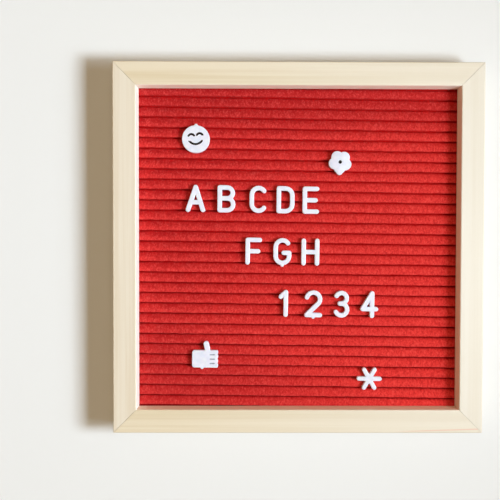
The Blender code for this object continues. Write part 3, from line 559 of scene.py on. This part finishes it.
def wood(name, along_x, seed, light, dark, edge, streak):
    """Pale straight-grained softwood with its grain along the rail, with painted light that makes it paler
    towards the board's right and at its inner edges.
    """
    finish = Finish(name)

    def grain(along, across, **kind):
        stretch = (along, across, across) if along_x else (across, along, across)
        return finish.noise(stretch=stretch, shift=[seed * part for part in GRAIN_SHIFT], **kind)

    bands = finish.math("MULTIPLY", grain(**WOOD_BANDS), BAND_SHARE)
    streaks = grain(**WOOD_STREAKS)
    pores = grain(**WOOD_PORES)
    tone = finish.math("ADD", bands, finish.math("MULTIPLY", streaks, STREAK_SHARE))
    body = finish.mix(finish.ramp(tone, *GRAIN_SPREAD), dark, light)
    # Painted light: paler towards the board's right, where the lamps are.
    body = finish.mix(finish.math("MULTIPLY", finish.way(TO_RIGHT), PAINTED_LIGHT_SHARE), body, PAINTED_LIGHT_TONE)
    body = finish.layer(body, pores, *PORE_SPREAD, PORE_SHARE, dark)
    # Painted light: the rails' inner edges are paler.
    inside = finish.within((-SIGHT_HALF, -SIGHT_HALF, 0), (SIGHT_HALF, SIGHT_HALF, EDGE_TOP))
    body = finish.mix(finish.math("MULTIPLY", inside, PAINTED_LIGHT_EDGE_SHARE), body, edge)
    inner = finish.within((-OUTER_HALF, -OUTER_HALF, -EDGE_TOP), (OUTER_HALF, OUTER_HALF, 2 * EDGE_TOP))
    body = finish.mix(finish.ramp(inner, 0, 1, OUTER_SHARE, 0), body, OUTER_TONE)
    if streak:
        body = finish.mix(finish.line(*streak, STREAK_WIDTH), body, STREAK_TONE)
    finish.colour(body)
    finish.roughness(finish.ramp(streaks, *NOISE_SPREAD, *WOOD_ROUGHNESS))
    finish.bump(streaks, *GRAIN_BUMP)
    finish.bump(pores, *PORE_BUMP)
    return finish.material


def felt_finish():
    """Dense napped felt: a matt red with paler fibres, cloudy where the nap lies another way; with painted
    light and shade on its ribs and in its grooves.
    """
    finish = Finish("red_felt", FELT_SOCKETS)
    tufts = finish.noise(**FELT_TUFTS)
    up = finish.way(TO_TOP)
    depth = finish.attribute("depth")
    masks = {
        "wear": finish.attribute("wear"),
        "top": up,
        "lower left": finish.way(TO_LOWER_LEFT),
        "tufts": tufts,
        "depth": depth,
    }
    body = finish.mix(finish.ramp(finish.noise(**FELT_CLOUDS), *CLOUD_SPREAD), *CLOUD_TONES)
    body = finish.mix(finish.math("MULTIPLY", finish.way(TO_LAMPS), LIT_SHARE), body, LIT_TONE)
    for mask, low, high, share, tone in FELT_LAYERS:
        body = finish.layer(body, masks[mask], low, high, share, tone)
    # Painted shade in the grooves, paler towards the board's top.
    teeth = finish.ramp(finish.noise(**GROOVE_TEETH), *TEETH_SPREAD, *TEETH_SHIFT)
    bridged = finish.ramp(finish.noise(**GROOVE_BRIDGES), *BRIDGE_SPREAD, *BRIDGE_SHARES)
    groove_shade = finish.math("MULTIPLY", finish.ramp(finish.math("ADD", depth, teeth), *GROOVE_SPREAD), bridged)
    body = finish.mix(groove_shade, body, finish.mix(up, *GROOVE_SHADE_TONES))
    # Painted shade on the felt that shows through the symbols' cut lines.
    for node, low, high, tone in CUT_LINES:
        if node in CUT_THROUGH:
            body = finish.mix(finish.within((*low[:2], 0), high), body, tone)
    finish.colour(body)
    finish.bump(tufts, *TUFT_BUMP)
    finish.bump(finish.noise(**FELT_FIBRES), *FIBRE_BUMP)
    return finish.material


def plastic_finish(name, shade, low=None, high=None, tone=None, arcs=()):
    """White moulded plastic with a faint blue cast; lines cut into it get painted shade, in the box low to
    high and along the arcs.
    """
    finish = Finish(name, PLASTIC_SOCKETS)
    etch = finish.noise(**PLASTIC_ETCH)
    body = finish.mix(finish.ramp(finish.noise(**PLASTIC_CLOUDS), *NOISE_SPREAD), shade, PLASTIC_PALE)
    # Painted shade in the cut lines, and along the arcs on the face.
    if tone:
        body = finish.mix(finish.within(low, high), body, tone)
    for centre, radius, box_low, box_high in arcs:
        ring = finish.ring(centre, radius, SMILE_LINE)
        body = finish.mix(finish.math("MULTIPLY", ring, finish.within(box_low, box_high)), body, tone)
    finish.colour(body)
    finish.roughness(finish.ramp(etch, *NOISE_SPREAD, *PLASTIC_ROUGHNESS))
    finish.bump(etch, *ETCH_BUMP)
    return finish.material


def steel_finish():
    """Thin zinc-plated steel with its grey spangle and fine rolling marks."""
    finish = Finish("zinc_steel", STEEL_SOCKETS)
    marks = finish.noise(**STEEL_MARKS)
    finish.colour(finish.mix(finish.ramp(finish.cells(SPANGLE_SCALE), *SPANGLE_SPREAD), *ZINC_TONES))
    finish.roughness(finish.ramp(marks, *NOISE_SPREAD, *STEEL_ROUGHNESS))
    finish.bump(marks, *MARKS_BUMP)
    return finish.material


def fibreboard_finish():
    """Brown fibreboard: a pressed smooth face with darker and paler fibre bundles."""
    finish = Finish("fibreboard", FIBREBOARD_SOCKETS)
    fibres = finish.noise(**FIBREBOARD_FIBRES)
    body = finish.mix(finish.ramp(finish.noise(**FIBREBOARD_CLOUDS), *FIBREBOARD_SPREAD), *FIBREBOARD_TONES)
    body = finish.layer(body, fibres, *FIBRE_LAYER)
    finish.colour(finish.layer(body, finish.noise(**FIBREBOARD_FLECKS), *FLECK_LAYER))
    finish.bump(fibres, *FIBREBOARD_BUMP)
    return finish.material


def dress(node, finish):
    mesh = frame["nodes"][node].data
    mesh.materials.clear()
    mesh.materials.append(finish)


def dress_frame():
    for side, along_x, seed, light, dark, edge, streak in RAILS:
        dress(f"rail_{side}", wood(f"wood_{side}", along_x, seed, light, dark, edge, streak))


def dress_rest():
    """Steel, fibreboard and plastic by the record's slots, then the symbols that have lines cut into them."""
    by_slot = {
        "steel": steel_finish(),
        "fibreboard": fibreboard_finish(),
        "white_plastic": plastic_finish("white_plastic", CHARACTER_SHADE),
    }
    for part in frame["record"]["subparts"]:
        if part["material_slot"] in by_slot:
            dress(part["node"], by_slot[part["material_slot"]])
    for node, low, high, tone in CUT_LINES:
        arcs = SMILE_ARCS if node == "smile_disc" else ()
        finish = plastic_finish(f"{node}_plastic", SYMBOL_SHADE, low, high, tone, arcs)
        if node == "flower":
            make_flower(finish)
        else:
            dress(node, finish)


# Flower


def reach(angle, turn, ring, radius):
    """How far out, in this direction, a circle reaches whose middle lies at this turn on this ring."""
    across = ring * sin(angle - turn)
    if abs(across) > radius or cos(angle - turn) < 0:
        return 0
    return ring * cos(angle - turn) + sqrt(radius ** 2 - across ** 2)


def flower_outline(angle):
    """The outline's distance from the middle: five petals, and the end of the sprue at the lower one."""
    petals = [reach(angle, PETAL_TILT + 2 * pi * i / PETALS, PETAL_RING, PETAL_RADIUS) for i in range(PETALS)]
    return max(*petals, reach(angle, SPRUE_TURN, SPRUE_RING, SPRUE_RADIUS))


def flower_body():
    """Rings of points from the back over the rounded edge to the front and the hole, with faces between."""
    angles = [2 * pi * i / FLOWER_STEPS for i in range(FLOWER_STEPS)]
    back, front = FLOWER_RINGS[0][0], FLOWER_RINGS[-1][0]
    rings = [[(flower_outline(a) - inside, a, z) for a in angles] for z, inside in FLOWER_RINGS]
    rings += [[(HOLE_RADIUS, a, z) for a in angles] for z in (front, back)]
    x, y = FLOWER_MIDDLE
    points = [(x + r * cos(a), y + r * sin(a), z) for ring in rings for r, a, z in ring]
    faces = []
    for ring in range(len(rings)):
        here = ring * FLOWER_STEPS
        there = (ring + 1) % len(rings) * FLOWER_STEPS
        for step in range(FLOWER_STEPS):
            after = (step + 1) % FLOWER_STEPS
            faces.append((here + step, here + after, there + after, there + step))
    return points, faces


def tab_corners(middle, length):
    """The corners of a tab that stands in its groove, at the ribs' slope."""
    corners = []
    for z in TAB_HEIGHTS:
        for end, side in BOX_CORNERS:
            along, across = end * length / 2, side * TAB_THICKNESS / 2
            x = middle[0] + along * cos(RIB_SLOPE) - across * sin(RIB_SLOPE)
            y = middle[1] + along * sin(RIB_SLOPE) + across * cos(RIB_SLOPE)
            corners.append((x, y, z))
    return corners


def make_flower(finish):
    """A five-petal flower with a hole in its middle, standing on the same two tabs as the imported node."""
    points, faces = flower_body()
    for middle, length in FLOWER_TABS:
        faces += [tuple(len(points) + corner for corner in face) for face in BOX_FACES]
        points += tab_corners(middle, length)
    mesh = bpy.data.meshes.new("flower_petals")
    mesh.from_pydata([Vector(point) * MM for point in points], [], faces)
    mesh.shade_smooth()
    mesh.set_sharp_from_angle(angle=FLOWER_SHARP)
    mesh.materials.append(finish)
    flower = add_object("flower_petals", mesh)
    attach(flower, "root")
    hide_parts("flower")


# Felt


def arc(centre, radius, start, end, steps):
    """Points on an arc from one angle to another, in degrees."""
    angles = [radians(start + (end - start) * i / steps) for i in range(steps + 1)]
    return [(centre[0] + radius * cos(a), centre[1] + radius * sin(a)) for a in angles]


def groove_numbers(width, height):
    """The numbers of the grooves that fit on the panel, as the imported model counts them."""
    slant = width / 2 * abs(tan(RIB_SLOPE))
    room = height / 2 - PACKED_GROOVE_WIDTH / 2 - PACKED_SHOULDER - EDGE_MARGIN - slant
    most = floor(room / RIB_PITCH + 0.5)
    return range(-most, most)


def groove_profile(line):
    """Over a rib's round head, down into one groove and up to the sharp foot of the next rib.

    The points are (distance up the board, height under the crowns).
    """
    half = GROOVE_WIDTH / 2
    path = arc((line - half - RIB_HEAD, -RIB_FALL - RIB_HEAD), RIB_HEAD, HEAD_START_DEGREES, 0, HEAD_STEPS)
    path += arc((line, half - GROOVE_DEPTH), half, 180, 360, GROOVE_STEPS)
    path += arc((line + half + RIB_FOOT, -RIB_FOOT), RIB_FOOT, 180, 90, FOOT_STEPS)
    return path


def pleat_rows(width, height):
    """The sheet's rows from the bottom edge to the top one."""
    numbers = groove_numbers(width, height)
    rows = []
    for number in numbers:
        profile = groove_profile((number + 0.5) * RIB_PITCH)
        if rows:
            start, end = rows[-1].up, profile[0][0]
            for step in range(1, CROWN_STEPS):
                share = step / CROWN_STEPS
                up = start + (end - start) * share
                rows.append(Row(up, -RIB_FALL * share ** 2, number - 1 + share, 1 - share))
        rows += [Row(up, sunk, number, 0.0) for up, sunk in profile[:-FOOT_STEPS]]
        rows += [Row(up, sunk, number, 1.0) for up, sunk in profile[-FOOT_STEPS:]]
    foot = Row(-height / 2, 0.0, numbers[0], 1.0)
    head = Row(height / 2, -RIB_FALL, numbers[-1], 0.0)
    return [foot, *rows, head]


def felt_point(row, x, top, at_edge):
    """The row's point at x, moved a little as folds made by hand are, with a lumpy crown."""
    y = row.up / cos(RIB_SLOPE) + x * tan(RIB_SLOPE)
    y += lumps(x, row.number * RIB_PITCH * WANDER_APART, *WANDER)
    y += lumps(x, row.up * RAGGED_APART, *RAGGED)
    crown = 1 - min(1, -row.sunk / GROOVE_DEPTH)
    z = top + row.sunk
    for kind in (NAP, SWELL):
        z += crown * (lumps(x, y, *kind) - kind[0])
    return x, row.up if at_edge else y, z


def make_felt():
    """One sheet folded down into every groove, a little uneven by hand, its surface lumpy with nap."""
    low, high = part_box("felt")
    width, height, top = high.x - low.x, high.y - low.y, high.z
    rows = pleat_rows(width, height)
    points = []
    for index, row in enumerate(rows):
        at_edge = index in (0, len(rows) - 1)
        for column in range(COLUMNS):
            x = low.x + width * column / (COLUMNS - 1)
            points.append(felt_point(row, x, top, at_edge))
    faces = []
    for row in range(len(rows) - 1):
        for column in range(COLUMNS - 1):
            corner = row * COLUMNS + column
            faces.append((corner, corner + 1, corner + COLUMNS + 1, corner + COLUMNS))
    mesh = bpy.data.meshes.new("felt_sheet")
    mesh.from_pydata(points, [], faces)
    mesh.shade_smooth()
    # Painted light, whole at each rib's foot and fading up to its head.
    wear = [row.wear for row in rows]
    depth = [min(1, -row.sunk / GROOVE_DEPTH) for row in rows]
    for name, values in (("wear", wear), ("depth", depth)):
        attribute = mesh.attributes.new(name, "FLOAT", "POINT")
        attribute.data.foreach_set("value", [value for value in values for _ in range(COLUMNS)])
    mesh.materials.append(felt_finish())
    felt = add_object("felt_sheet", mesh)
    shell = felt.modifiers.new("thickness", "SOLIDIFY")
    shell.thickness = FELT_THICKNESS
    shell.offset = -1
    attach(felt, "root")
    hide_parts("felt")


make_camera()
make_world()
make_lamp("key", KEY_PLACE, KEY_SIZE, KEY_COLOUR, KEY_POWER)
make_lamp("side", SIDE_PLACE, SIDE_SIZE, SIDE_COLOUR, SIDE_POWER)
make_lamp("fill", FILL_PLACE, FILL_SIZE, FILL_COLOUR, FILL_POWER)
make_table()
dress_frame()
dress_rest()
make_felt()
bpy.context.scene.view_settings.view_transform = "Standard"
